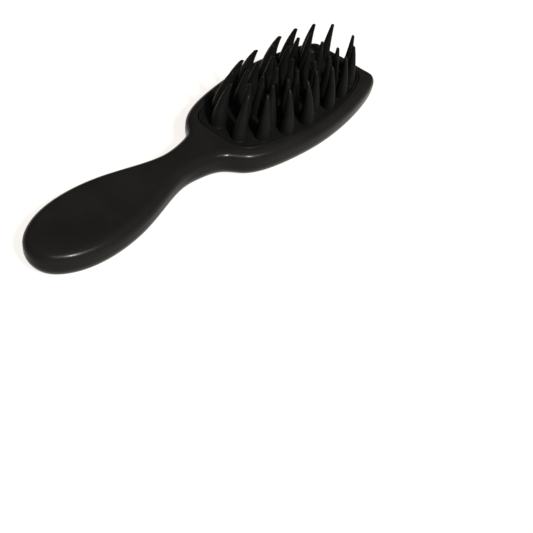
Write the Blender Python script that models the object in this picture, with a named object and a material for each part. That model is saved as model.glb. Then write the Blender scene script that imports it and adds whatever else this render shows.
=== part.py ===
"""Scalp massager brush, lying on its back with its spikes up.

Units are metres with +Z up. X runs from the handle's end to the head's tip, and XZ is the plane of symmetry.
The origin is the middle of the underside. Lengths below are in millimetres, and MM turns them into metres.

A hollow moulded shell carries a silicone pad in an opening in its head. The pad sits on a stiff plate,
the carrier, which floats on a block of foam. A screwed cover closes the shell from the underside.
"""
import math

import bmesh
import bpy
from mathutils import Vector

MM = 0.001

# Body
LENGTH = 200.0
THICKNESS = 14.0
TOP_EDGE_RADIUS = 4.0
BOTTOM_EDGE_RADIUS = 8.0
WALL = 2.4
FIT_GAP = 0.3
BODY_POINTS = 92
ARC_STEPS = 4
HOLLOW_ARC_STEPS = 2
HOLLOW_TOP_RADIUS = 0.6
# Points lie closer together where an outline turns: a full turn counts as this much length.
TURN_LENGTH = 150.0

# Half outlines, as the control polygons of cubic B-splines: distance from the handle's end, half width.
BODY_POLYGON = (
    (-0.9, 0.0), (1.7, 7.8), (10.0, 13.6), (20.2, 16.6), (32.8, 17.2), (46.8, 15.4), (61.6, 10.7),
    (75.1, 7.0), (86.0, 8.4), (95.8, 10.7), (100.3, 18.6), (111.0, 23.8), (126.7, 26.8), (143.5, 28.7),
    (162.5, 28.1), (180.0, 25.5), (195.3, 21.6), (200.3, 17.7), (199.1, 11.6), (200.4, 0.0),
)
PAD_POLYGON = (
    (102.5, 0.0), (101.7, 8.0), (104.5, 15.8), (114.8, 18.6), (130.2, 22.7), (148.7, 24.0),
    (163.8, 22.6), (178.6, 19.6), (191.0, 15.5), (194.5, 9.4), (192.6, 0.0),
)
PAD_POINTS = 56

# Back cover: its edge is let into the underside, on a ledge of the shell
COVER_INSET = 4.0
LEDGE_INSET = 5.2
COVER_INNER_Z = 2.4

# Screws: (distance from the handle's end, distance from the middle) of one of each pair
SCREW_PLACES = ((22.0, 7.0), (96.5, 4.5))
SCREW_RADIUS = 1.0
SCREW_HEAD_RADIUS = 1.9
SCREW_HEAD_BOTTOM_Z = 0.1
SCREW_HEAD_TOP_Z = 1.1
SCREW_LENGTH = 7.0
SCREW_SIDES = 16
RECESS_RADIUS = 2.3
RECESS_DEPTH = 1.4
BOSS_RADIUS = 2.6

# Pad, carrier and foam
PAD_EDGE_ROUND = 0.4
PAD_LIP_WIDTH = 0.7
PAD_LIP_SLOPE = 0.6
PAD_FACE_Z = 13.1
PAD_BOTTOM_Z = 10.0
FLANGE_WIDTH = 1.6
CARRIER_THICKNESS = 1.5
CARRIER_HOLE_RADIUS = 3.0
CARRIER_HOLE_PITCH = 22.0
FOAM_INSET = 3.6
FOAM_RIB_INSET = 2.2
FOAM_RIB_WIDTH = 1.0
FOAM_RIB_HEIGHT = 2.2

# Spikes: each row of the layout is (base x, base y, tip x, tip y), x from the handle's end.
# A spike off the middle line has a twin on the other side. SPIKE_TAPER is how much slimmer, as a share,
# a spike's foot is at the tip end of the pad than at its handle end. A spike that leans is oval, longer the
# way it leans: CLAW_STRETCH times at the handle end of the pad, and CLAW_STRETCH_RISE more at the tip end,
# in full where the tip is FULL_LEAN or more off the foot, and less where it leans less.
SPIKE_HEIGHT = 19.7
SPIKE_BASE_RADIUS = 3.95
SPIKE_TAPER = 0.42
SPIKE_TIP_RADIUS = 0.6
SPIKE_FULLNESS = 0.97
SPIKE_BEND = 2.2
CLAW_STRETCH = 1.05
CLAW_STRETCH_RISE = 0.45
FULL_LEAN = 3.2
SPIKE_ROOT_DEPTH = 0.6
SPIKE_SIDES = 8
SPIKE_LEVELS = (0.0, 0.22, 0.46, 0.7, 0.965)
CLAWS = (
    (109.4, 6.1, 113.4, 5.0), (117.5, 12.8, 119.8, 10.2), (129.0, 17.2, 130.8, 13.5),
    (141.4, 18.9, 142.1, 14.7), (158.7, 18.6, 160.0, 15.3), (170.6, 17.2, 171.6, 14.8),
    (182.2, 13.7, 182.2, 11.8), (189.4, 6.8, 189.8, 6.1),
)
INNER_SPIKES = (
    (126.6, 8.8, 127.1, 7.1), (135.8, 10.2, 136.1, 8.4), (144.6, 8.2, 144.8, 6.9), (151.2, 15.0, 151.5, 12.5),
    (156.9, 8.9, 157.1, 7.5), (166.2, 10.7, 166.3, 9.1), (174.9, 8.8, 174.9, 7.8),
)
MIDDLE_SPIKES = (120.0, 129.0, 139.0, 150.5, 162.8, 173.0)


# ---------------------------------------------------------------- outlines

def spline_loop(half_polygon, count):
    """Closed, symmetric cubic B-spline, as count points, starting at the handle's side."""
    mirrored = [(x, -y) for x, y in half_polygon[-2:0:-1]]
    polygon = list(half_polygon) + mirrored
    size = len(polygon)
    fine = []
    for i in range(size):
        a, b, c, d = (polygon[(i + k - 1) % size] for k in range(4))
        for step in range(24):
            t = step / 24
            rise = -3 * t ** 3 + 3 * t ** 2 + 3 * t + 1
            weights = ((1 - t) ** 3, 3 * t ** 3 - 6 * t ** 2 + 4, rise, t ** 3)
            x = sum(w * p[0] for w, p in zip(weights, (a, b, c, d))) / 6
            y = sum(w * p[1] for w, p in zip(weights, (a, b, c, d))) / 6
            fine.append(Vector((x - LENGTH / 2, y)))
    return respaced(fine, count)


def respaced(loop, count):
    """The same closed loop with count points, at equal steps of its length and its turning together."""
    lengths = [0.0]
    for k, here in enumerate(loop):
        there = loop[(k + 1) % len(loop)]
        beyond = loop[(k + 2) % len(loop)]
        turn = (there - here).angle(beyond - there)
        lengths.append(lengths[-1] + (there - here).length + TURN_LENGTH * turn / math.tau)
    points = []
    index = 0
    for k in range(count):
        wanted = lengths[-1] * k / count
        while lengths[index + 1] < wanted:
            index += 1
        share = (wanted - lengths[index]) / (lengths[index + 1] - lengths[index])
        points.append(loop[index].lerp(loop[(index + 1) % len(loop)], share))
    return points


def inset(loop, depth):
    """The loop moved inward by depth, or outward if depth is negative, in small steps.

    Between steps the points slide a little along the loop, which keeps them apart in tight corners,
    and the two sides stop short of the middle line where the body is narrow.
    """
    least_half_width = 0.8
    steps = max(1, math.ceil(abs(depth) / 0.4))
    points = [p.copy() for p in loop]
    size = len(points)
    for _ in range(steps):
        moved = []
        for i, here in enumerate(points):
            before = points[i - 1]
            after = points[(i + 1) % size]
            along = (after - before).normalized()
            inward = Vector((along.y, -along.x))
            slide = ((before + after) / 2 - here).dot(along) * 0.5
            new = here + inward * (depth / steps) + along * slide
            if abs(here.y) >= least_half_width:
                new.y = math.copysign(max(abs(new.y), least_half_width), here.y)
            moved.append(new)
        points = moved
    return points


BODY_LOOP = spline_loop(BODY_POLYGON, BODY_POINTS)
PAD_LOOP = spline_loop(PAD_POLYGON, PAD_POINTS)
PAD_START = min(p.x for p in PAD_LOOP)
PAD_END = max(p.x for p in PAD_LOOP)


# ---------------------------------------------------------------- meshes and objects

def ring(mesh, loop, z):
    return [mesh.verts.new((p.x * MM, p.y * MM, z * MM)) for p in loop]


def bridge(mesh, lower, upper):
    size = len(lower)
    for i in range(size):
        j = (i + 1) % size
        mesh.faces.new((lower[i], lower[j], upper[j], upper[i]))


def stacked(mesh, levels):
    """A closed solid through the loops of levels, (loop, z) from the bottom up, all of one point count."""
    rings = [ring(mesh, loop, z) for loop, z in levels]
    for lower, upper in zip(rings, rings[1:]):
        bridge(mesh, lower, upper)
    mesh.faces.new(rings[0])
    mesh.faces.new(rings[-1])


def finished(name, mesh, origin=(0.0, 0.0, 0.0)):
    """An object made of the bmesh, whose own origin is at origin, in millimetres."""
    offset = Vector(origin) * MM
    bmesh.ops.translate(mesh, verts=mesh.verts, vec=-offset)
    bmesh.ops.recalc_face_normals(mesh, faces=mesh.faces)
    data = bpy.data.meshes.new(name)
    mesh.to_mesh(data)
    mesh.free()
    data.shade_smooth()
    data.set_sharp_from_angle(angle=math.radians(35))
    obj = bpy.data.objects.new(name, data)
    obj.location = offset
    bpy.context.scene.collection.objects.link(obj)
    return obj


def prism(name, loop, bottom, top):
    mesh = bmesh.new()
    stacked(mesh, [(loop, bottom), (loop, top)])
    return finished(name, mesh)


def circle(x, y, radius, sides):
    turns = [math.tau * k / sides for k in range(sides)]
    return [Vector((x + radius * math.cos(a), y + radius * math.sin(a))) for a in turns]


def cylinders(name, places, radius, bottom, top, sides=20):
    """One object of upright cylinders that stand apart."""
    mesh = bmesh.new()
    for x, y in places:
        loop = circle(x, y, radius, sides)
        stacked(mesh, [(loop, bottom), (loop, top)])
    return finished(name, mesh)


def tool(obj):
    """Marks an object as one that only shapes others."""
    obj.hide_render = True
    obj.display_type = "WIRE"
    return obj


def shape(obj, operation, other):
    modifier = obj.modifiers.new(other.name, "BOOLEAN")
    modifier.operation = operation
    modifier.solver = "EXACT"
    modifier.object = tool(other)


def paint(obj, name, color, roughness, metallic=0.0):
    material = bpy.data.materials.get(name) or bpy.data.materials.new(name)
    material.use_nodes = True
    shader = material.node_tree.nodes["Principled BSDF"]
    shader.inputs["Base Color"].default_value = (*color, 1.0)
    shader.inputs["Roughness"].default_value = roughness
    shader.inputs["Metallic"].default_value = metallic
    obj.data.materials.append(material)


def frame(name, location, parent=None):
    empty = bpy.data.objects.new(name, None)
    empty.location = Vector(location) * MM
    empty.empty_display_size = 0.01
    empty.parent = parent
    bpy.context.scene.collection.objects.link(empty)
    return empty


def attach(obj, parent):
    """Parents obj without moving it."""
    obj.location -= parent.location
    obj.parent = parent


# ---------------------------------------------------------------- body

def rounded_levels(loop, extra_inset, bottom, top, bottom_radius, top_radius, steps):
    """Levels of a body with rounded lower and upper edges, pulled in by extra_inset all round."""
    levels = []
    for step in range(steps + 1):
        angle = math.pi / 2 * step / steps
        depth = extra_inset + bottom_radius * (1 - math.sin(angle))
        levels.append((inset(loop, depth), bottom + bottom_radius * (1 - math.cos(angle))))
    for step in range(steps + 1):
        angle = math.pi / 2 * step / steps
        depth = extra_inset + top_radius * (1 - math.cos(angle))
        levels.append((inset(loop, depth), top - top_radius * (1 - math.sin(angle))))
    return levels


def body_form(name):
    radii = (BOTTOM_EDGE_RADIUS, TOP_EDGE_RADIUS)
    mesh = bmesh.new()
    stacked(mesh, rounded_levels(BODY_LOOP, 0.0, 0.0, THICKNESS, *radii, ARC_STEPS))
    return finished(name, mesh)


def hollow_form(name):
    radii = (BOTTOM_EDGE_RADIUS - WALL, HOLLOW_TOP_RADIUS)
    mesh = bmesh.new()
    stacked(mesh, rounded_levels(BODY_LOOP, WALL, WALL, THICKNESS - WALL, *radii, HOLLOW_ARC_STEPS))
    return finished(name, mesh)


def screw_places():
    return [(x - LENGTH / 2, side * y) for x, y in SCREW_PLACES for side in (-1, 1)]


def make_body_shell():
    shell = body_form("body_shell")
    seat_top = COVER_INNER_Z + FIT_GAP
    bosses = cylinders("add_bosses", screw_places(), BOSS_RADIUS, seat_top + 0.1, THICKNESS - WALL / 2)
    pilots = cylinders("cut_pilots", screw_places(), SCREW_RADIUS + FIT_GAP, 0.0, THICKNESS - 2 * WALL)
    opening = inset(PAD_LOOP, -FIT_GAP / 2)
    shape(shell, "DIFFERENCE", hollow_form("cut_hollow"))
    shape(shell, "DIFFERENCE", prism("cut_ledge", inset(BODY_LOOP, LEDGE_INSET), 2.0, 5.0))
    shape(shell, "DIFFERENCE", prism("cut_cover_seat", inset(BODY_LOOP, COVER_INSET), -2.0, seat_top))
    shape(shell, "UNION", bosses)
    shape(shell, "DIFFERENCE", pilots)
    shape(shell, "DIFFERENCE", prism("cut_pad_opening", opening, THICKNESS - 2 * WALL, THICKNESS + 2.0))
    paint(shell, "black_plastic", (0.012, 0.012, 0.013), 0.42)
    return shell


def make_back_cover():
    cover = body_form("back_cover")
    cover_edge = inset(BODY_LOOP, COVER_INSET + FIT_GAP)
    rib_outer = inset(PAD_LOOP, FOAM_RIB_INSET)
    rib_inner = inset(PAD_LOOP, FOAM_RIB_INSET + FOAM_RIB_WIDTH)
    rib_top = COVER_INNER_Z + FOAM_RIB_HEIGHT
    rib = prism("add_foam_rib", rib_outer, COVER_INNER_Z - 0.8, rib_top)
    shape(rib, "DIFFERENCE", prism("cut_foam_rib", rib_inner, 0.0, rib_top + 1))
    shape(cover, "INTERSECT", prism("keep_cover", cover_edge, -2.0, COVER_INNER_Z))
    shape(cover, "UNION", rib)
    holes = cylinders("cut_screw_holes", screw_places(), SCREW_RADIUS + FIT_GAP, -1.0, COVER_INNER_Z + 1.0)
    shape(cover, "DIFFERENCE", holes)
    shape(cover, "DIFFERENCE", cylinders("cut_recesses", screw_places(), RECESS_RADIUS, -1.0, RECESS_DEPTH))
    paint(cover, "black_plastic", (0.012, 0.012, 0.013), 0.42)
    return cover


def make_screw(name, x, y):
    """Pan-head self-tapping screw with its point up, turned about its own axis."""
    tip_z = SCREW_HEAD_TOP_Z + SCREW_LENGTH
    profile = (
        (0.7 * SCREW_HEAD_RADIUS, SCREW_HEAD_BOTTOM_Z), (SCREW_HEAD_RADIUS, SCREW_HEAD_BOTTOM_Z + 0.4),
        (SCREW_HEAD_RADIUS, SCREW_HEAD_TOP_Z), (SCREW_RADIUS, SCREW_HEAD_TOP_Z),
        (SCREW_RADIUS, tip_z - 1.6), (0.25, tip_z),
    )
    mesh = bmesh.new()
    stacked(mesh, [(circle(x, y, radius, SCREW_SIDES), z) for radius, z in profile])
    screw = finished(name, mesh, origin=(x, y, 0.0))
    paint(screw, "screw_steel", (0.55, 0.55, 0.56), 0.3, metallic=1.0)
    return screw


# ---------------------------------------------------------------- pad

def spike_ring(base, tip, share, height):
    """One ring of a spike: its middle leaves the base straight up and bends over to the tip."""
    along_pad = (base.x - PAD_START) / (PAD_END - PAD_START)
    middle = base.lerp(tip, share ** SPIKE_BEND)
    foot_radius = SPIKE_BASE_RADIUS * (1 - SPIKE_TAPER * along_pad)
    radius = SPIKE_TIP_RADIUS + (foot_radius - SPIKE_TIP_RADIUS) * (1 - share) ** SPIKE_FULLNESS
    reach = (tip - base).length
    lean = (tip - base).normalized() if reach > 0.1 else Vector((1.0, 0.0))
    across = Vector((-lean.y, lean.x))
    stretch = 1 + (CLAW_STRETCH + CLAW_STRETCH_RISE * along_pad - 1) * min(1.0, reach / FULL_LEAN)
    loop = []
    for k in range(SPIKE_SIDES):
        turn = math.tau * (k + 0.5) / SPIKE_SIDES
        loop.append(middle + (lean * stretch * math.cos(turn) + across * math.sin(turn)) * radius)
    return loop, PAD_FACE_Z + height


def add_spike(mesh, base, tip):
    foot, _ = spike_ring(base, tip, 0.0, 0.0)
    levels = [(foot, PAD_FACE_Z - SPIKE_ROOT_DEPTH)]
    levels += [spike_ring(base, tip, share, SPIKE_HEIGHT * share) for share in SPIKE_LEVELS]
    middle = levels[-1][0]
    centre = sum(middle, Vector((0.0, 0.0))) / SPIKE_SIDES
    levels.append(([centre.lerp(p, 0.5) for p in middle], PAD_FACE_Z + SPIKE_HEIGHT))
    stacked(mesh, levels)


def spikes(name):
    """All the spikes in one object, each a closed form that stands apart from the others."""
    mesh = bmesh.new()
    half = LENGTH / 2
    for base_x, base_y, tip_x, tip_y in CLAWS + INNER_SPIKES:
        for side in (-1, 1):
            base = Vector((base_x - half, side * base_y))
            tip = Vector((tip_x - half, side * tip_y))
            add_spike(mesh, base, tip)
    for x in MIDDLE_SPIKES:
        middle = Vector((x - half, 0.0))
        add_spike(mesh, middle, middle)
    return finished(name, mesh)


def make_massage_pad(origin):
    """Silicone plate with a flange under the rim, a low lip round its face and spikes, in one piece."""
    plate = inset(PAD_LOOP, FIT_GAP / 2)
    flange = inset(PAD_LOOP, -FLANGE_WIDTH)
    flange_top = THICKNESS - WALL - FIT_GAP
    lip = inset(plate, PAD_EDGE_ROUND + PAD_LIP_WIDTH)
    face = inset(plate, PAD_EDGE_ROUND + PAD_LIP_WIDTH + PAD_LIP_SLOPE)
    mesh = bmesh.new()
    stacked(mesh, [
        (flange, PAD_BOTTOM_Z), (flange, flange_top), (plate, flange_top),
        (plate, THICKNESS - PAD_EDGE_ROUND), (inset(plate, PAD_EDGE_ROUND), THICKNESS),
        (lip, THICKNESS), (face, PAD_FACE_Z),
    ])
    pad = finished("massage_pad", mesh, origin)
    shape(pad, "UNION", spikes("add_spikes"))
    paint(pad, "black_silicone", (0.014, 0.014, 0.016), 0.62)
    return pad


def make_pad_carrier(origin):
    """Stiff plate behind the pad, with a row of holes that lightens it."""
    outline = inset(PAD_LOOP, -FLANGE_WIDTH)
    top = PAD_BOTTOM_Z - FIT_GAP
    bottom = top - CARRIER_THICKNESS
    mesh = bmesh.new()
    stacked(mesh, [(inset(outline, 0.3), bottom), (outline, bottom + 0.3), (outline, top)])
    carrier = finished("pad_carrier", mesh, origin)
    places = [(origin[0] + k * CARRIER_HOLE_PITCH, 0.0) for k in (-1, 0, 1)]
    holes = cylinders("cut_carrier_holes", places, CARRIER_HOLE_RADIUS, bottom - 1.0, top + 1.0)
    shape(carrier, "DIFFERENCE", holes)
    paint(carrier, "grey_plastic", (0.10, 0.10, 0.10), 0.55)
    return carrier


def make_cushion_foam():
    outline = inset(PAD_LOOP, FOAM_INSET)
    bottom = COVER_INNER_Z + FIT_GAP
    top = PAD_BOTTOM_Z - 2 * FIT_GAP - CARRIER_THICKNESS
    mesh = bmesh.new()
    stacked(mesh, [(outline, bottom), (outline, top)])
    foam = finished("cushion_foam", mesh)
    paint(foam, "grey_foam", (0.16, 0.16, 0.17), 0.9)
    return foam


def build():
    for obj in list(bpy.data.objects):
        bpy.data.objects.remove(obj, do_unlink=True)
    pad_middle = (PAD_START + PAD_END) / 2
    body_frame = frame("body_frame", (0.0, 0.0, 0.0))
    pad_origin = (pad_middle, 0.0, PAD_BOTTOM_Z)
    pad_frame = frame("pad_frame", pad_origin, body_frame)
    for piece in (make_body_shell(), make_back_cover(), make_cushion_foam()):
        attach(piece, body_frame)
    for number, (x, y) in enumerate(screw_places(), start=1):
        attach(make_screw(f"cover_screw_{number}", x, y), body_frame)
    for piece in (make_massage_pad(pad_origin), make_pad_carrier(pad_origin)):
        attach(piece, pad_frame)


build()
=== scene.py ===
"""Looks of the scalp massager brush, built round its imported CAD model.

Units are metres with +Z up. Outlines and moulded details are given in millimetres from the handle's end,
as in the CAD source, and MM turns them into metres. Heights and screw places come from the CAD nodes' boxes.
"""
import math

import bmesh
import bpy
import numpy as np
from mathutils import Matrix, Vector


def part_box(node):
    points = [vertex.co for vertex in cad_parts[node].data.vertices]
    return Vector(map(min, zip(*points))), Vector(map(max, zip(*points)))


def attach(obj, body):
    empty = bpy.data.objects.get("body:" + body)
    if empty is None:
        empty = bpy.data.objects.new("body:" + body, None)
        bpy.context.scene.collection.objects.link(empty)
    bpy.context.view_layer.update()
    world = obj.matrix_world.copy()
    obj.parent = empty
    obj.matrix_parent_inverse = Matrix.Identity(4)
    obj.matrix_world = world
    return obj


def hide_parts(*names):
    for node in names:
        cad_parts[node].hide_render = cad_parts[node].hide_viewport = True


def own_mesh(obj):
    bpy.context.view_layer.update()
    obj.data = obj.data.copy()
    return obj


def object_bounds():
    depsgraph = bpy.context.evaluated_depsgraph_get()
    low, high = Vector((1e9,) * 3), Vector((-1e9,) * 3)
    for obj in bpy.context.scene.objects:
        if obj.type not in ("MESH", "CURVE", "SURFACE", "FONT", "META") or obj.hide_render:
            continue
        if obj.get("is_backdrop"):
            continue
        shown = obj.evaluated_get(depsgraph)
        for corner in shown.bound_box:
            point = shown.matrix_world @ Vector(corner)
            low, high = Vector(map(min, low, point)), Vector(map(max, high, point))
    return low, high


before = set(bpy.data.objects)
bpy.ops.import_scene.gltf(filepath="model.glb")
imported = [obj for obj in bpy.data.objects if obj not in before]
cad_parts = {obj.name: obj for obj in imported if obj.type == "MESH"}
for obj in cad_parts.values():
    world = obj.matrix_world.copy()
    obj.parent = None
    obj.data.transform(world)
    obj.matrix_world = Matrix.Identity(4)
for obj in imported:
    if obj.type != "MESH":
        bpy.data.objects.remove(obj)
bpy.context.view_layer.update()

MM = 0.001
SHELL_LOW, SHELL_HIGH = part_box("body_shell")
PAD_LOW, PAD_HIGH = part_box("massage_pad")
COVER_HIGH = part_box("back_cover")[1]
CARRIER_LOW, CARRIER_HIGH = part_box("pad_carrier")
FOAM_LOW, FOAM_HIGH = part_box("cushion_foam")
SCREWS = [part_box(f"cover_screw_{number}") for number in (1, 2, 3, 4)]

HANDLE_END = round(SHELL_LOW.x / MM)
TOP = SHELL_HIGH.z / MM
SPIKE_TOP = PAD_HIGH.z / MM
PAD_BOTTOM = PAD_LOW.z / MM

# Body and inner pieces, as in the CAD source
TOP_EDGE_RADIUS = 4.0
BOTTOM_EDGE_RADIUS = 8.0
WALL = 2.4
FIT_GAP = 0.3
HOLLOW_TOP_RADIUS = 0.6
COVER_INSET = 4.0
LEDGE_INSET = 5.2
COVER_INNER_Z = 2.4
BOSS_RADIUS = 2.6
RECESS_RADIUS = 2.3
RECESS_DEPTH = 1.4
SCREW_RADIUS = 1.0
FLANGE_WIDTH = 1.6
RIB_INSET = 2.2
RIB_WIDTH = 1.0
FOAM_INSET = 3.6
CARRIER_HOLE_RADIUS = 3.0
CARRIER_HOLE_PITCH = 22.0

# Foam's sides, which swell between the cover and the carrier
FOAM_STEPS = 12
FOAM_SWELL = 0.28

# How finely the outlines are drawn. A full turn counts as TURN_LENGTH of length.
SPAN_STEPS = 48
BODY_POINTS = 384
PAD_POINTS = 240
TURN_LENGTH = 150.0
ARC_STEPS = 12

# How an outline is moved inward
CORNER_RADIUS = 2.0
LEAST_HALF_WIDTH = 0.8
FACING_SIDEWAYS = 0.8
SWALLOWED = 0.015

# Pad's edge: a rounded lip, and the slope from it down to the dished face
LIP = 0.45
LIP_WIDTH = 0.15
LIP_SLOPE = 1.3
FACE = 13.1
SLOPE_STEPS = 8

# Half outlines, as the control polygons of cubic B-splines: distance from the handle's end, half width.
# They came out of a least-squares fit to both views of the photo, and are the same as in the CAD source.
BODY_POLYGON = (
    (-0.9, 0.0), (1.7, 7.8), (10.0, 13.6), (20.2, 16.6), (32.8, 17.2), (46.8, 15.4), (61.6, 10.7),
    (75.1, 7.0), (86.0, 8.4), (95.8, 10.7), (100.3, 18.6), (111.0, 23.8), (126.7, 26.8), (143.5, 28.7),
    (162.5, 28.1), (180.0, 25.5), (195.3, 21.6), (200.3, 17.7), (199.1, 11.6), (200.4, 0.0),
)
PAD_POLYGON = (
    (102.5, 0.0), (101.7, 8.0), (104.5, 15.8), (114.8, 18.6), (130.2, 22.7), (148.7, 24.0),
    (163.8, 22.6), (178.6, 19.6), (191.0, 15.5), (194.5, 9.4), (192.6, 0.0),
)

# Spikes: (base x, base y, tip x, tip y) of one of each pair, and the x of those on the middle line.
# The tips and the middle line's places came out of the same fit. The bases were set one by one.
CLAWS = (
    (109.4, 6.1, 113.4, 5.0), (117.5, 12.8, 119.8, 10.2), (129.0, 17.2, 130.8, 13.5),
    (141.4, 18.9, 142.1, 14.7), (158.7, 18.6, 160.0, 15.3), (170.6, 17.2, 171.6, 14.8),
    (182.2, 13.7, 182.2, 11.8), (189.4, 6.8, 189.8, 6.1),
)
INNER_SPIKES = (
    (126.6, 8.8, 127.1, 7.1), (135.8, 10.2, 136.1, 8.4), (144.6, 8.2, 144.8, 6.9), (151.2, 15.0, 151.5, 12.5),
    (156.9, 8.9, 157.1, 7.5), (166.2, 10.7, 166.3, 9.1), (174.9, 8.8, 174.9, 7.8),
)
MIDDLE_SPIKES = (120.0, 129.0, 139.0, 150.5, 162.8, 173.0)
SPIKE_SIDES = 28
SPIKE_RINGS = 16
SPIKE_BASE_RADIUS = 3.95
SPIKE_TAPER = 0.42
SPIKE_TIP_RADIUS = 0.62
SPIKE_FULLNESS = 0.96
SPIKE_BEND = 2.2
CLAW_STRETCH = 1.05
CLAW_STRETCH_RISE = 0.45
FULL_LEAN = 3.2
STRETCH_ROOM = 1.2
FILLET = 0.12
LEAST_FILLET = 0.06
FILLET_SPREAD = 0.62
FILLET_ANGLE = 68.0
FILLET_STEPS = 5
SPIKE_ROOT_DEPTH = 0.5


# ---------------------------------------------------------------- outlines

def spline_loop(half_polygon, count):
    """Closed, symmetric cubic B-spline, as count points, starting at the handle's side."""
    polygon = np.array(list(half_polygon) + [(x, -y) for x, y in half_polygon[-2:0:-1]])
    polygon[:, 0] += HANDLE_END
    a, b, c, d = (np.roll(polygon, 1 - k, axis=0)[:, None, :] for k in range(4))
    t = (np.arange(SPAN_STEPS) / SPAN_STEPS)[None, :, None]
    rise = -3 * t ** 3 + 3 * t ** 2 + 3 * t + 1
    fine = ((1 - t) ** 3 * a + (3 * t ** 3 - 6 * t ** 2 + 4) * b + rise * c + t ** 3 * d) / 6
    return respaced(fine.reshape(-1, 2), count)


def respaced(loop, count):
    """The same closed loop with count points, closer together where it turns."""
    step = np.roll(loop, -1, axis=0) - loop
    heading = np.arctan2(step[:, 1], step[:, 0])
    turn = np.abs((np.roll(heading, -1) - heading + math.pi) % math.tau - math.pi)
    pace = np.hypot(step[:, 0], step[:, 1]) + TURN_LENGTH * turn / math.tau
    travelled = np.concatenate(([0.0], np.cumsum(pace)))
    closed = np.vstack((loop, loop[:1]))
    wanted = travelled[-1] * np.arange(count) / count
    return np.stack([np.interp(wanted, travelled, closed[:, k]) for k in (0, 1)], axis=1)


def inward_normals(loop):
    """Unit normals of a closed loop, each that of the circle through a point and its two neighbours."""
    before = loop - np.roll(loop, 1, axis=0)
    after = np.roll(loop, -1, axis=0) - loop
    along = before / (before ** 2).sum(axis=1)[:, None] + after / (after ** 2).sum(axis=1)[:, None]
    along /= np.linalg.norm(along, axis=1)[:, None]
    return np.stack((along[:, 1], -along[:, 0]), axis=1)


def distance_to(loop, points):
    """Each point's distance to the part of the loop on its own side of the middle line."""
    start = loop[None, :, :]
    step = np.roll(loop, -1, axis=0)[None, :, :] - start
    offset = points[:, None, :] - start
    share = np.clip((offset * step).sum(axis=2) / (step ** 2).sum(axis=2), 0.0, 1.0)
    gap = np.linalg.norm(offset - share[:, :, None] * step, axis=2)
    side = np.sign(loop[:, 1])
    gap[side[:, None] * loop[None, :, 1] < -0.5] = np.inf
    return gap.min(axis=1)


def inset(loop, depth):
    """The loop moved inward by depth, or outward if depth is negative.

    Corners tighter than CORNER_RADIUS are rounded to it: the loop goes in deeper by that radius, its
    swallowed points gather where their neighbours meet, and it comes back out. Where the body is narrow,
    its sides stop short of the middle line.
    """
    normals = inward_normals(loop)
    if depth <= 0:
        return loop + normals * depth
    reach = depth + CORNER_RADIUS
    deep = loop + normals * reach
    kept = distance_to(loop, deep) > reach - SWALLOWED
    index = np.arange(len(loop))
    for axis in (0, 1):
        deep[:, axis] = np.interp(index, index[kept], deep[kept, axis], period=len(loop))
    moved = deep - normals * CORNER_RADIUS
    sides = (np.abs(loop[:, 1]) >= 2 * LEAST_HALF_WIDTH) & (np.abs(normals[:, 1]) > FACING_SIDEWAYS)
    narrow = np.copysign(np.maximum(moved[:, 1] * np.sign(loop[:, 1]), LEAST_HALF_WIDTH), loop[:, 1])
    moved[:, 1] = np.where(sides, narrow, moved[:, 1])
    return moved


BODY_LOOP = spline_loop(BODY_POLYGON, BODY_POINTS)
PAD_LOOP = spline_loop(PAD_POLYGON, PAD_POINTS)
PAD_START = PAD_LOOP[:, 0].min()
PAD_END = PAD_LOOP[:, 0].max()


# ---------------------------------------------------------------- meshes and objects

def stacked(mesh, levels):
    """A closed solid through the loops of levels, (loop, z) from the bottom up, all of one point count."""
    rings = [[mesh.verts.new((x * MM, y * MM, z * MM)) for x, y in loop] for loop, z in levels]
    size = len(rings[0])
    for lower, upper in zip(rings, rings[1:]):
        for i in range(size):
            j = (i + 1) % size
            mesh.faces.new((lower[i], lower[j], upper[j], upper[i]))
    mesh.faces.new(rings[0])
    mesh.faces.new(rings[-1])


def finished(name, mesh):
    """The mesh as a linked object, with its faces turned outward."""
    bmesh.ops.recalc_face_normals(mesh, faces=mesh.faces)
    data = bpy.data.meshes.new(name)
    mesh.to_mesh(data)
    mesh.free()
    obj = bpy.data.objects.new(name, data)
    bpy.context.scene.collection.objects.link(obj)
    return obj


def solid(name, levels):
    """An object of one closed solid through levels."""
    mesh = bmesh.new()
    stacked(mesh, levels)
    return finished(name, mesh)


def lofted(name, loop, profile):
    """A closed solid whose cross-section is profile, (depth inside the loop, z), all the way round."""
    return solid(name, [(inset(loop, depth), z) for depth, z in profile])


def circle(x, y, radius, sides):
    """Points of a circle."""
    turns = math.tau * (np.arange(sides) + 0.5) / sides
    return np.stack((x + radius * np.cos(turns), y + radius * np.sin(turns)), axis=1)


def turned(name, places, profile, sides=40):
    """One object of upright turned forms of one profile, (radius, z) from the bottom up, that stand apart."""
    mesh = bmesh.new()
    for x, y in places:
        stacked(mesh, [(circle(x, y, radius, sides), z) for radius, z in profile])
    return finished(name, mesh)


def shape(obj, operation, *others):
    """Cuts, joins or intersects obj with the others in turn, and removes them."""
    for other in others:
        modifier = obj.modifiers.new(other.name, "BOOLEAN")
        modifier.operation = operation
        modifier.solver = "EXACT"
        modifier.object = other
    graph = bpy.context.evaluated_depsgraph_get()
    data = bpy.data.meshes.new_from_object(obj.evaluated_get(graph))
    obj.modifiers.clear()
    obj.data = data
    for other in others:
        bpy.data.objects.remove(other)


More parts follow.
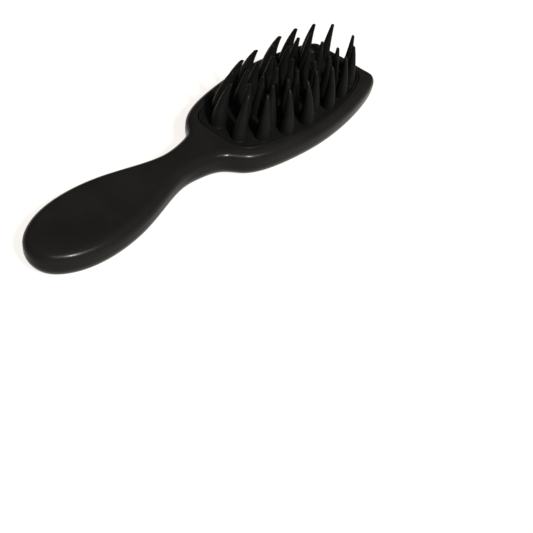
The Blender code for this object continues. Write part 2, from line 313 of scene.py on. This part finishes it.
def dressed(obj, material, body, slot, *nodes, sharp=32.0):
    """Shades obj smoothly between sharp edges, and gives it its finish, body and replaced nodes; slot is not
    used.
    """
    obj.data.materials.clear()
    obj.data.materials.append(material)
    obj.data.shade_smooth()
    obj.data.set_sharp_from_angle(angle=math.radians(sharp))
    even = obj.modifiers.new("even_flats", "WEIGHTED_NORMAL")
    even.keep_sharp = True
    even.mode = "FACE_AREA"
    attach(obj, body)
    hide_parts(*nodes)


# ---------------------------------------------------------------- materials

class Nodes:
    """A material's node tree, filled one node at a time."""

    def __init__(self, name):
        self.material = bpy.data.materials.new(name)
        self.material.use_nodes = True
        self.tree = self.material.node_tree
        self.shader = self.tree.nodes["Principled BSDF"]
        self.place = self.add("ShaderNodeTexCoord").outputs["Object"]

    def add(self, kind, settings=None, inputs=None):
        """A new node, with its settings, and with each input linked to a socket or set to a value."""
        node = self.tree.nodes.new(kind)
        for key, value in (settings or {}).items():
            setattr(node, key, value)
        for key, value in (inputs or {}).items():
            if isinstance(value, bpy.types.NodeSocket):
                self.tree.links.new(value, node.inputs[key])
            else:
                node.inputs[key].default_value = value
        return node

    def noise(self, scale, detail=3.0, roughness=0.5):
        """Cloudy noise between 0 and 1."""
        inputs = {"Vector": self.place, "Scale": scale, "Detail": detail, "Roughness": roughness}
        return self.add("ShaderNodeTexNoise", inputs=inputs).outputs["Fac"]

    def span(self, value, low, high, to_low, to_high):
        """The value moved from the range low to high into the range to_low to to_high."""
        inputs = {"Value": value, "From Min": low, "From Max": high, "To Min": to_low, "To Max": to_high}
        return self.add("ShaderNodeMapRange", inputs=inputs).outputs["Result"]

    def blend(self, share, first, second):
        """The first colour where share is 0, and the second where it is 1."""
        node = self.add("ShaderNodeMix", {"data_type": "RGBA"})
        for index, value in ((0, share), (6, first), (7, second)):
            if isinstance(value, bpy.types.NodeSocket):
                self.tree.links.new(value, node.inputs[index])
            else:
                node.inputs[index].default_value = value
        return node.outputs[2]

    def math(self, operation, first, second):
        """The result of a sum or comparison of two values."""
        return self.add("ShaderNodeMath", {"operation": operation}, {0: first, 1: second}).outputs[0]

    def specks(self, scale, size, share):
        """1 inside sparse round specks and 0 elsewhere: share is how many of the cells hold one."""
        inputs = {"Vector": self.place, "Scale": scale}
        cells = self.add("ShaderNodeTexVoronoi", inputs=inputs)
        near = self.span(cells.outputs["Distance"], size * 0.6, size, 1.0, 0.0)
        pick = self.add("ShaderNodeSeparateColor", inputs={"Color": cells.outputs["Color"]}).outputs[0]
        chosen = self.math("LESS_THAN", pick, share)
        return self.math("MULTIPLY", near, chosen)

    def bump(self, height, distance, strength=1.0, under=None):
        """A normal tilted by height, on top of the normal under, if there is one."""
        inputs = {"Height": height, "Distance": distance, "Strength": strength}
        if under is not None:
            inputs["Normal"] = under
        return self.add("ShaderNodeBump", inputs=inputs).outputs["Normal"]

    def wire(self, **sockets):
        """Links sockets to the shader's inputs."""
        for key, value in sockets.items():
            self.tree.links.new(value, self.shader.inputs[key.replace("_", " ")])

    def fix(self, **values):
        """Sets the shader's inputs to constants."""
        for key, value in values.items():
            self.shader.inputs[key.replace("_", " ")].default_value = value


def moulded(name, dark, light, rough_low, rough_high, level, speck_share=0.03):
    """Satin moulded plastic: cloudy tone and gloss, a fine mould grain, and a few specks of dust."""
    nodes = Nodes(name)
    cloud = nodes.noise(55.0, 4.0, 0.55)
    grain = nodes.noise(2600.0, 2.0, 0.6)
    dust = nodes.specks(420.0, 0.035, speck_share)
    tone = nodes.blend(nodes.span(cloud, 0.3, 0.7, 0.0, 1.0), (*dark, 1.0), (*light, 1.0))
    tone = nodes.blend(dust, tone, (0.30, 0.29, 0.27, 1.0))
    gloss = nodes.span(cloud, 0.3, 0.7, rough_low, rough_high)
    gloss = nodes.math("ADD", gloss, nodes.span(grain, 0.3, 0.7, -0.03, 0.03))
    wave = nodes.bump(cloud, 0.00025, 0.35)
    nodes.wire(Base_Color=tone, Roughness=gloss, Normal=nodes.bump(grain, 0.000012, 0.5, wave))
    nodes.fix(Specular_IOR_Level=level)
    return nodes.material


def silicone(name):
    """Matte rubber: soft sheen, a fine frosted grain and a little clinging dust."""
    nodes = Nodes(name)
    cloud = nodes.noise(140.0, 3.0, 0.6)
    grain = nodes.noise(3800.0, 2.0, 0.6)
    dust = nodes.specks(520.0, 0.04, 0.04)
    clouded = nodes.span(cloud, 0.3, 0.7, 0.0, 1.0)
    tone = nodes.blend(clouded, (0.0026, 0.0025, 0.0023, 1.0), (0.0037, 0.0036, 0.0034, 1.0))
    tone = nodes.blend(dust, tone, (0.16, 0.16, 0.15, 1.0))
    gloss = nodes.span(cloud, 0.3, 0.7, 0.36, 0.46)
    nodes.wire(Base_Color=tone, Roughness=gloss, Normal=nodes.bump(grain, 0.00002, 0.6))
    nodes.fix(Specular_IOR_Level=0.045, Sheen_Weight=0.002, Sheen_Roughness=0.4)
    return nodes.material


def foam_finish(name):
    """Foam: pores of two sizes, with painted shade inside them."""
    nodes = Nodes(name)
    inputs = {"Vector": nodes.place, "Scale": 1500.0}
    pores = nodes.add("ShaderNodeTexVoronoi", inputs=inputs).outputs["Distance"]
    inputs = {"Vector": nodes.place, "Scale": 620.0}
    holes = nodes.add("ShaderNodeTexVoronoi", inputs=inputs).outputs["Distance"]
    fine = nodes.span(pores, 0.1, 0.5, 0.0, 1.0)
    coarse = nodes.span(holes, 0.05, 0.4, 0.3, 1.0)
    depth = nodes.math("MULTIPLY", fine, coarse)
    # Darker towards the middle of each pore: painted shade in the pits that the bump makes.
    tone = nodes.blend(depth, (0.02, 0.02, 0.021, 1.0), (0.16, 0.16, 0.17, 1.0))
    nodes.wire(Base_Color=tone, Normal=nodes.bump(depth, 0.0004, 0.9))
    nodes.fix(Roughness=0.95, Specular_IOR_Level=0.2, Sheen_Weight=0.15)
    return nodes.material


def steel_finish(name):
    """Zinc-plated steel: streaks round the screw and a few dull patches."""
    nodes = Nodes(name)
    streaks = nodes.noise(1800.0, 4.0, 0.65)
    patches = nodes.noise(500.0, 3.0, 0.6)
    dull = nodes.span(patches, 0.35, 0.7, 0.0, 1.0)
    tone = nodes.blend(dull, (0.62, 0.62, 0.63, 1.0), (0.40, 0.40, 0.40, 1.0))
    streaked = nodes.span(streaks, 0.3, 0.7, 0.2, 0.34)
    gloss = nodes.math("ADD", streaked, nodes.span(patches, 0.4, 0.7, 0.0, 0.1))
    nodes.wire(Base_Color=tone, Roughness=gloss, Normal=nodes.bump(streaks, 0.00001, 0.5))
    nodes.fix(Metallic=1.0)
    return nodes.material


def floor_finish(name):
    """A lit table top: nearly all of its white is its own light, so the shadows on it stay faint."""
    nodes = Nodes(name)
    cloud = nodes.noise(6.0, 3.0, 0.5)
    tone = nodes.blend(cloud, (0.080, 0.074, 0.068, 1.0), (0.095, 0.088, 0.080, 1.0))
    nodes.wire(Base_Color=tone, Normal=nodes.bump(nodes.noise(900.0), 0.00005, 0.2))
    nodes.fix(Roughness=0.9, Specular_IOR_Level=0.1)
    nodes.fix(Emission_Color=(1.0, 0.96, 0.92, 1.0), Emission_Strength=0.9)
    return nodes.material


# ---------------------------------------------------------------- body

def lower_arc(depth, bottom, radius, start, end, steps):
    """Profile points, (depth, z), round a lower edge; the angle is 0 on the flat base and 90 on the flank."""
    angles = np.radians(np.linspace(start, end, steps + 1))
    return [(depth + radius * (1 - math.sin(a)), bottom + radius * (1 - math.cos(a))) for a in angles]


def upper_arc(depth, top, radius, steps, start=0.0, end=90.0):
    """Profile points round an upper edge; the angle is 0 on the flank and 90 on the flat top."""
    angles = np.radians(np.linspace(start, end, steps + 1))
    return [(depth + radius * (1 - math.cos(a)), top - radius * (1 - math.sin(a))) for a in angles]


def underside(depth):
    """Angle and height of the body's rounded lower edge where it is depth inside the outline."""
    angle = math.asin(1 - depth / BOTTOM_EDGE_RADIUS)
    return math.degrees(angle), BOTTOM_EDGE_RADIUS * (1 - math.cos(angle))


SCREW_PLACES = [((low.x + high.x) / 2 / MM, (low.y + high.y) / 2 / MM) for low, high in SCREWS]
SEAT_TOP = COVER_INNER_Z + FIT_GAP


def pad_opening(lip):
    """The cutter of the pad's opening. Its wall bows outward near the top, which leaves a rounded lip."""
    side = -FIT_GAP / 2
    profile = [(side, TOP - 2 * WALL)]
    profile += [(side - depth, z) for depth, z in upper_arc(0.0, TOP, lip, 4, end=84.0)]
    profile.append((side - lip, TOP + 0.4))
    return lofted("cut_pad_opening", PAD_LOOP, profile)


def make_shell(material):
    """Open moulding: the profile runs down the hollow's wall, round the cover's seat and up the outside."""
    hollow_arc = lower_arc(WALL, WALL, BOTTOM_EDGE_RADIUS - WALL, 90.0, 30.0, 6)
    ceiling = TOP - WALL
    lip_angle, lip_z = underside(COVER_INSET - 0.34)
    profile = [
        (WALL + HOLLOW_TOP_RADIUS, ceiling), (WALL + 0.2, ceiling - 0.2), (WALL, ceiling - HOLLOW_TOP_RADIUS),
    ]
    profile += hollow_arc
    profile += [(LEDGE_INSET, SEAT_TOP), (COVER_INSET, SEAT_TOP), (COVER_INSET, lip_z + 0.02)]
    profile += [(COVER_INSET - 0.05, lip_z - 0.065), (COVER_INSET - 0.14, lip_z - 0.10)]
    profile.append((COVER_INSET - 0.24, lip_z - 0.07))
    profile += lower_arc(0.0, 0.0, BOTTOM_EDGE_RADIUS, lip_angle, 90.0, ARC_STEPS)
    profile += upper_arc(0.0, TOP, TOP_EDGE_RADIUS, ARC_STEPS)
    profile.append((TOP_EDGE_RADIUS + 0.25, TOP))
    shell = lofted("shell_moulding", BODY_LOOP, profile)
    bosses = turned("add_bosses", SCREW_PLACES, [
        (BOSS_RADIUS, SEAT_TOP + 0.1), (BOSS_RADIUS, 8.0), (BOSS_RADIUS + 0.1, TOP - WALL / 2),
    ])
    shape(shell, "UNION", bosses)
    pilots = turned("cut_pilots", SCREW_PLACES, [
        (SCREW_RADIUS + FIT_GAP, 0.0), (SCREW_RADIUS + FIT_GAP, TOP - 2 * WALL - 0.5), (0.5, TOP - 2 * WALL),
    ])
    shape(shell, "DIFFERENCE", pilots, pad_opening(LIP * 0.7))
    dressed(shell, material, "body", "shell_plastic", "body_shell")
    return shell


def make_cover(material):
    """Plate that follows the rounded underside, with a rib round the foam and a well round each screw."""
    edge = COVER_INSET + FIT_GAP
    edge_angle, edge_z = underside(edge + 0.3)
    profile = lower_arc(0.0, 0.0, BOTTOM_EDGE_RADIUS, 0.0, edge_angle, 5)
    profile += [(edge + 0.18, edge_z + 0.045), (edge + 0.08, edge_z + 0.12), (edge + 0.02, edge_z + 0.22)]
    profile += [(edge, edge_z + 0.36), (edge, COVER_INNER_Z - 0.2), (edge + 0.2, COVER_INNER_Z)]
    cover = lofted("cover_moulding", BODY_LOOP, profile)
    rib_top = COVER_HIGH.z / MM
    inner = RIB_INSET + RIB_WIDTH
    rib = lofted("add_rib", PAD_LOOP, [
        (RIB_INSET, COVER_INNER_Z - 0.8), (RIB_INSET, rib_top - 0.2), (RIB_INSET + 0.2, rib_top),
    ])
    shape(rib, "DIFFERENCE", lofted("cut_rib", PAD_LOOP, [
        (inner, 0.0), (inner, rib_top - 0.2), (inner - 0.2, rib_top + 0.02), (inner - 0.2, rib_top + 1.0),
    ]))
    shape(cover, "UNION", rib)
    hole = SCREW_RADIUS + FIT_GAP
    holes = turned("cut_holes", SCREW_PLACES, [(hole, -1.0), (hole, COVER_INNER_Z + 1.0)])
    wells = turned("cut_wells", SCREW_PLACES, [
        (RECESS_RADIUS + 0.3, -1.0), (RECESS_RADIUS + 0.3, -0.1), (RECESS_RADIUS + 0.17, 0.12),
        (RECESS_RADIUS, 0.3), (RECESS_RADIUS, RECESS_DEPTH),
    ])
    shape(cover, "DIFFERENCE", holes, wells)
    dressed(cover, material, "body", "cover_plastic", "back_cover")
    return cover


# ---------------------------------------------------------------- screws

SCREW_SIDES = 32
HEAD_HEIGHT = 1.0
CROWN_ANGLE = 24
CROWN_RISE = 0.5
THREAD_PITCH = 0.9
THREAD_DEPTH = 0.22
THREAD_HALF_WIDTH = 0.28
THREAD_RUN_IN = 0.4
ROWS_PER_TURN = 8
POINT_LENGTH = 1.6
POINT_RADIUS = 0.2


def cross_cut(x, y, bottom, angle):
    """One bar of the driver's cross, narrowing with depth."""
    turn = Matrix.Rotation(angle, 2)
    levels = []
    for half_long, half_wide, z in ((1.12, 0.21, bottom - 0.2), (0.62, 0.13, bottom + 0.75)):
        corners = [Vector((a * half_long, b * half_wide)) for a, b in ((-1, -1), (1, -1), (1, 1), (-1, 1))]
        levels.append((np.array([tuple(turn @ corner) for corner in corners]) + (x, y), z))
    return solid("cut_cross", levels)


def make_screw(number, low, high, material):
    """Pan-head tapping screw, point up, with a cut cross in its head and a real helical thread."""
    x = (low.x + high.x) / 2 / MM
    y = (low.y + high.y) / 2 / MM
    bottom = low.z / MM
    tip = high.z / MM
    head_radius = (high.x - low.x) / 2 / MM
    head_top = bottom + HEAD_HEIGHT
    turns = math.tau * (np.arange(SCREW_SIDES) + 0.5) / SCREW_SIDES
    levels = []
    for angle in np.radians(np.linspace(CROWN_ANGLE, 90, 7)):
        crown = CROWN_RISE * (math.cos(math.radians(CROWN_ANGLE)) - math.cos(angle))
        levels.append((circle(x, y, head_radius * math.sin(angle), SCREW_SIDES), bottom + crown))
    levels.append((circle(x, y, head_radius, SCREW_SIDES), head_top))
    levels.append((circle(x, y, SCREW_RADIUS, SCREW_SIDES), head_top + 0.02))
    start = head_top + 0.1
    length = tip - 0.1 - start
    rows = int(length / (THREAD_PITCH / ROWS_PER_TURN))
    for row in range(rows + 1):
        z = start + length * row / rows
        point = min(1.0, max(0.0, (tip - z) / POINT_LENGTH))
        outer = POINT_RADIUS + (SCREW_RADIUS - POINT_RADIUS) * point
        phase = (z / THREAD_PITCH - turns / math.tau) % 1.0
        crest = np.clip(1.0 - np.abs(phase - 0.5) / THREAD_HALF_WIDTH, 0.0, 1.0)
        fade = min(1.0, (z - start) / THREAD_RUN_IN)
        radius = outer - THREAD_DEPTH * point * fade * (1.0 - crest)
        levels.append((np.stack((x + radius * np.cos(turns), y + radius * np.sin(turns)), axis=1), z))
    levels.append((circle(x, y, 0.08, SCREW_SIDES), tip))
    screw = solid(f"screw_{number}", levels)
    for quarter in (0.0, math.pi / 2):
        shape(screw, "DIFFERENCE", cross_cut(x, y, bottom, 0.5 + 0.7 * number + quarter))
    dressed(screw, material, "body", "screw_steel", f"cover_screw_{number}")
    return screw


# ---------------------------------------------------------------- pad

def share_along_pad(base):
    """0 at the pad's handle side and 1 at its tip side."""
    return (base[0] - PAD_START) / (PAD_END - PAD_START)


def foot_radius(base):
    """Radius of a spike's foot: it shrinks from the pad's handle side to its tip side."""
    return SPIKE_BASE_RADIUS * (1 - SPIKE_TAPER * share_along_pad(base))


def spike_levels(base, tip, foot, fillet):
    """Rings of one spike: a filleted foot, a flank that bends over from upright to the tip, a round point.

    A spike that leans is stretched along its lean, and in full from a lean of FULL_LEAN on.
    """
    height = SPIKE_TOP - FACE
    lean = tip - base
    reach = np.linalg.norm(lean)
    full_stretch = CLAW_STRETCH + CLAW_STRETCH_RISE * share_along_pad(base)
    stretch = 1 + (full_stretch - 1) * min(1.0, reach / FULL_LEAN)
    lean = lean / reach if reach > 0.1 else np.array((1.0, 0.0))
    across = np.array((-lean[1], lean[0]))
    turns = math.tau * (np.arange(SPIKE_SIDES) + 0.5) / SPIKE_SIDES

    def ring(share, radius, z):
        middle = base + (tip - base) * share ** SPIKE_BEND
        oval = np.outer(np.cos(turns), lean * stretch) + np.outer(np.sin(turns), across)
        return middle + radius * oval, z

    def flank(share):
        return SPIKE_TIP_RADIUS + (foot - SPIKE_TIP_RADIUS) * (1 - share) ** SPIKE_FULLNESS

    wide = foot + fillet * FILLET_SPREAD
    levels = [ring(0.0, wide, FACE - SPIKE_ROOT_DEPTH), ring(0.0, wide, FACE - 0.02)]
    start = math.radians(FILLET_ANGLE)
    for step in range(1, FILLET_STEPS + 1):
        angle = start * (1 - step / FILLET_STEPS)
        rise = fillet * (1 - math.sin(angle)) - fillet * (1 - math.sin(start))
        share = rise / height
        levels.append(ring(share, flank(share) + fillet * (1 - math.cos(angle)), FACE + rise))
    last_share = 1 - SPIKE_TIP_RADIUS / height
    first_share = rise / height
    for step in range(1, SPIKE_RINGS + 1):
        share = first_share + (last_share - first_share) * (step / SPIKE_RINGS) ** 0.9
        levels.append(ring(share, flank(share), FACE + height * share))
    tip_radius = flank(last_share)
    for angle in np.radians((25, 48, 68, 82)):
        z = SPIKE_TOP - SPIKE_TIP_RADIUS * (1 - math.sin(angle))
        levels.append(ring(1.0, tip_radius * math.cos(angle), z))
    return levels


def edge_distance(point):
    """Distance from point to the pad's outline."""
    return np.hypot(*(PAD_LOOP - point).T).min()


def make_pad(material):
    """Silicone plate with a flange under the rim, rounded edge and spikes, in one closed mesh."""
    edge = FIT_GAP / 2
    flange_top = TOP - WALL - FIT_GAP
    profile = [
        (0.3 - FLANGE_WIDTH, PAD_BOTTOM), (-FLANGE_WIDTH, PAD_BOTTOM + 0.3), (-FLANGE_WIDTH, flange_top),
        (edge - 0.3, flange_top), (edge, flange_top + 0.3),
    ]
    profile += upper_arc(edge, TOP, LIP, 5)
    for step in range(SLOPE_STEPS + 1):
        share = step / SLOPE_STEPS
        fall = (TOP - FACE) * (1 - math.cos(math.pi * share)) / 2
        profile.append((edge + LIP + LIP_WIDTH + LIP_SLOPE * share, TOP - fall))
    pad = lofted("pad_moulding", PAD_LOOP, profile)
    mesh = bmesh.new()
    pairs = CLAWS + INNER_SPIKES
    places = [(x, side * y, tip_x, side * tip_y) for x, y, tip_x, tip_y in pairs for side in (-1, 1)]
    places += [(x, 0.0, x, 0.0) for x in MIDDLE_SPIKES]
    for base_x, base_y, tip_x, tip_y in places:
        base = np.array((base_x + HANDLE_END, base_y))
        tip = np.array((tip_x + HANDLE_END, tip_y))
        foot = foot_radius(base)
        room = edge_distance(base) - foot * STRETCH_ROOM - edge - LIP
        fillet = min(FILLET, max(LEAST_FILLET, room / FILLET_SPREAD))
        stacked(mesh, spike_levels(base, tip, foot, fillet))
    shape(pad, "UNION", finished("add_spikes", mesh))
    dressed(pad, material, "pad", "pad_silicone", "massage_pad", sharp=50.0)
    return pad


def make_carrier(material):
    """Stiff plate behind the pad, with softened edges and a row of three holes."""
    bottom = CARRIER_LOW.z / MM
    top = CARRIER_HIGH.z / MM
    edge = -FLANGE_WIDTH
    carrier = lofted("carrier_plate", PAD_LOOP, [
        (edge + 0.35, bottom), (edge + 0.1, bottom + 0.1), (edge, bottom + 0.35),
        (edge, top - 0.2), (edge + 0.2, top),
    ])
    middle = (CARRIER_LOW.x + CARRIER_HIGH.x) / 2 / MM
    places = [(middle + k * CARRIER_HOLE_PITCH, 0.0) for k in (-1, 0, 1)]
    holes = turned("cut_holes", places, [
        (CARRIER_HOLE_RADIUS + 0.3, bottom - 1.0), (CARRIER_HOLE_RADIUS + 0.3, bottom),
        (CARRIER_HOLE_RADIUS, bottom + 0.3), (CARRIER_HOLE_RADIUS, top + 1.0),
    ])
    shape(carrier, "DIFFERENCE", holes)
    dressed(carrier, material, "pad", "carrier_plastic", "pad_carrier")
    return carrier


def make_foam(material):
    """Foam block, flat where the cover and the carrier hold it, with sides that swell between them."""
    bottom = FOAM_LOW.z / MM
    top = FOAM_HIGH.z / MM
    profile = []
    for step in range(FOAM_STEPS + 1):
        share = step / FOAM_STEPS
        swell = FOAM_SWELL * math.sin(math.pi * share) ** 0.5
        rise = (top - bottom) * (1 - math.cos(math.pi * share)) / 2
        profile.append((FOAM_INSET + 0.1 - swell, bottom + rise))
    foam = lofted("foam_block", PAD_LOOP, profile)
    dressed(foam, material, "body", "cushion_foam", "cushion_foam")
    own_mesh(foam)
    return foam


# ---------------------------------------------------------------- stage

def aimed(obj, place, target):
    """Puts a light at place, facing target."""
    back = (Vector(place) - Vector(target)).normalized()
    obj.location = place
    obj.rotation_euler = back.to_track_quat("Z", "Y").to_euler()
    bpy.context.scene.collection.objects.link(obj)


def area_light(name, azimuth, elevation, distance, size, power, height=None):
    """A round light, or an oblong one if it has a height, aimed at the object.

    Its azimuth is the direction it stands in, from +X towards +Y.
    """
    data = bpy.data.lights.new(name, "AREA")
    data.shape = "RECTANGLE" if height else "DISK"
    data.size = size
    if height:
        data.size_y = height
    data.energy = power
    a = math.radians(azimuth)
    e = math.radians(elevation)
    target = Vector((0.0, 0.0, 0.01))
    away = Vector((math.cos(a) * math.cos(e), math.sin(a) * math.cos(e), math.sin(e)))
    light = bpy.data.objects.new(name, data)
    aimed(light, target + away * distance, target)
    return light


def make_floor(material):
    """Table top a little below the brush, so that their faces don't meet."""
    bpy.ops.mesh.primitive_plane_add(size=12.0, location=(0.0, 0.0, -0.0002))
    floor = bpy.context.object
    floor.name = "floor"
    floor.data.materials.append(material)
    floor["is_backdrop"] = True


def make_world(strength):
    """Even, nearly white light from all round."""
    world = bpy.data.worlds.new("studio")
    bpy.context.scene.world = world
    world.use_nodes = True
    background = world.node_tree.nodes["Background"]
    background.inputs["Color"].default_value = (1.0, 0.995, 0.985, 1.0)
    background.inputs["Strength"].default_value = strength


def make_camera():
    """The photograph's view of the upper brush, found by fitting both brushes' outlines and spikes."""
    data = bpy.data.cameras.new("camera")
    data.sensor_width = 36.0
    data.lens = 55.38
    data.clip_start = 0.01
    camera = bpy.data.objects.new("camera", data)
    right = Vector((0.62874, -0.7635, 0.14745))
    up = Vector((0.50135, 0.54296, 0.67368))
    back = Vector((-0.59442, -0.34965, 0.72416))
    turn = Matrix((right, up, back)).transposed()
    camera.rotation_euler = turn.to_euler()
    camera.location = (-0.22451, -0.17141, 0.23593)
    bpy.context.scene.collection.objects.link(camera)
    bpy.context.scene.camera = camera


shell_black = moulded(
    "satin_black_plastic", dark=(0.0043, 0.0041, 0.0037), light=(0.0060, 0.0057, 0.0051),
    rough_low=0.19, rough_high=0.25, level=0.045,
)
cover_black = moulded(
    "cover_black_plastic", dark=(0.0036, 0.0035, 0.0032), light=(0.0050, 0.0048, 0.0044),
    rough_low=0.34, rough_high=0.42, level=0.06,
)
carrier_grey = moulded(
    "carrier_grey_plastic", dark=(0.075, 0.075, 0.078), light=(0.10, 0.10, 0.10),
    rough_low=0.48, rough_high=0.6, level=0.4, speck_share=0.0,
)

make_shell(shell_black)
make_cover(cover_black)
make_pad(silicone("black_silicone"))
make_carrier(carrier_grey)
make_foam(foam_finish("grey_foam"))
steel = steel_finish("screw_steel")
for number, (low, high) in enumerate(SCREWS, start=1):
    make_screw(number, low, high, steel)

make_floor(floor_finish("white_table"))
make_world(strength=0.08)
# The key is small and gives the highlights. The fill is a wide soft box close to its direction.
area_light("key", azimuth=-108.0, elevation=46.0, distance=2.4, size=0.22, power=130.0)
area_light("fill", azimuth=-112.0, elevation=50.0, distance=2.4, size=2.2, power=64.0, height=0.55)
make_camera()
bpy.context.scene.view_settings.view_transform = "Standard"

low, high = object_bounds()
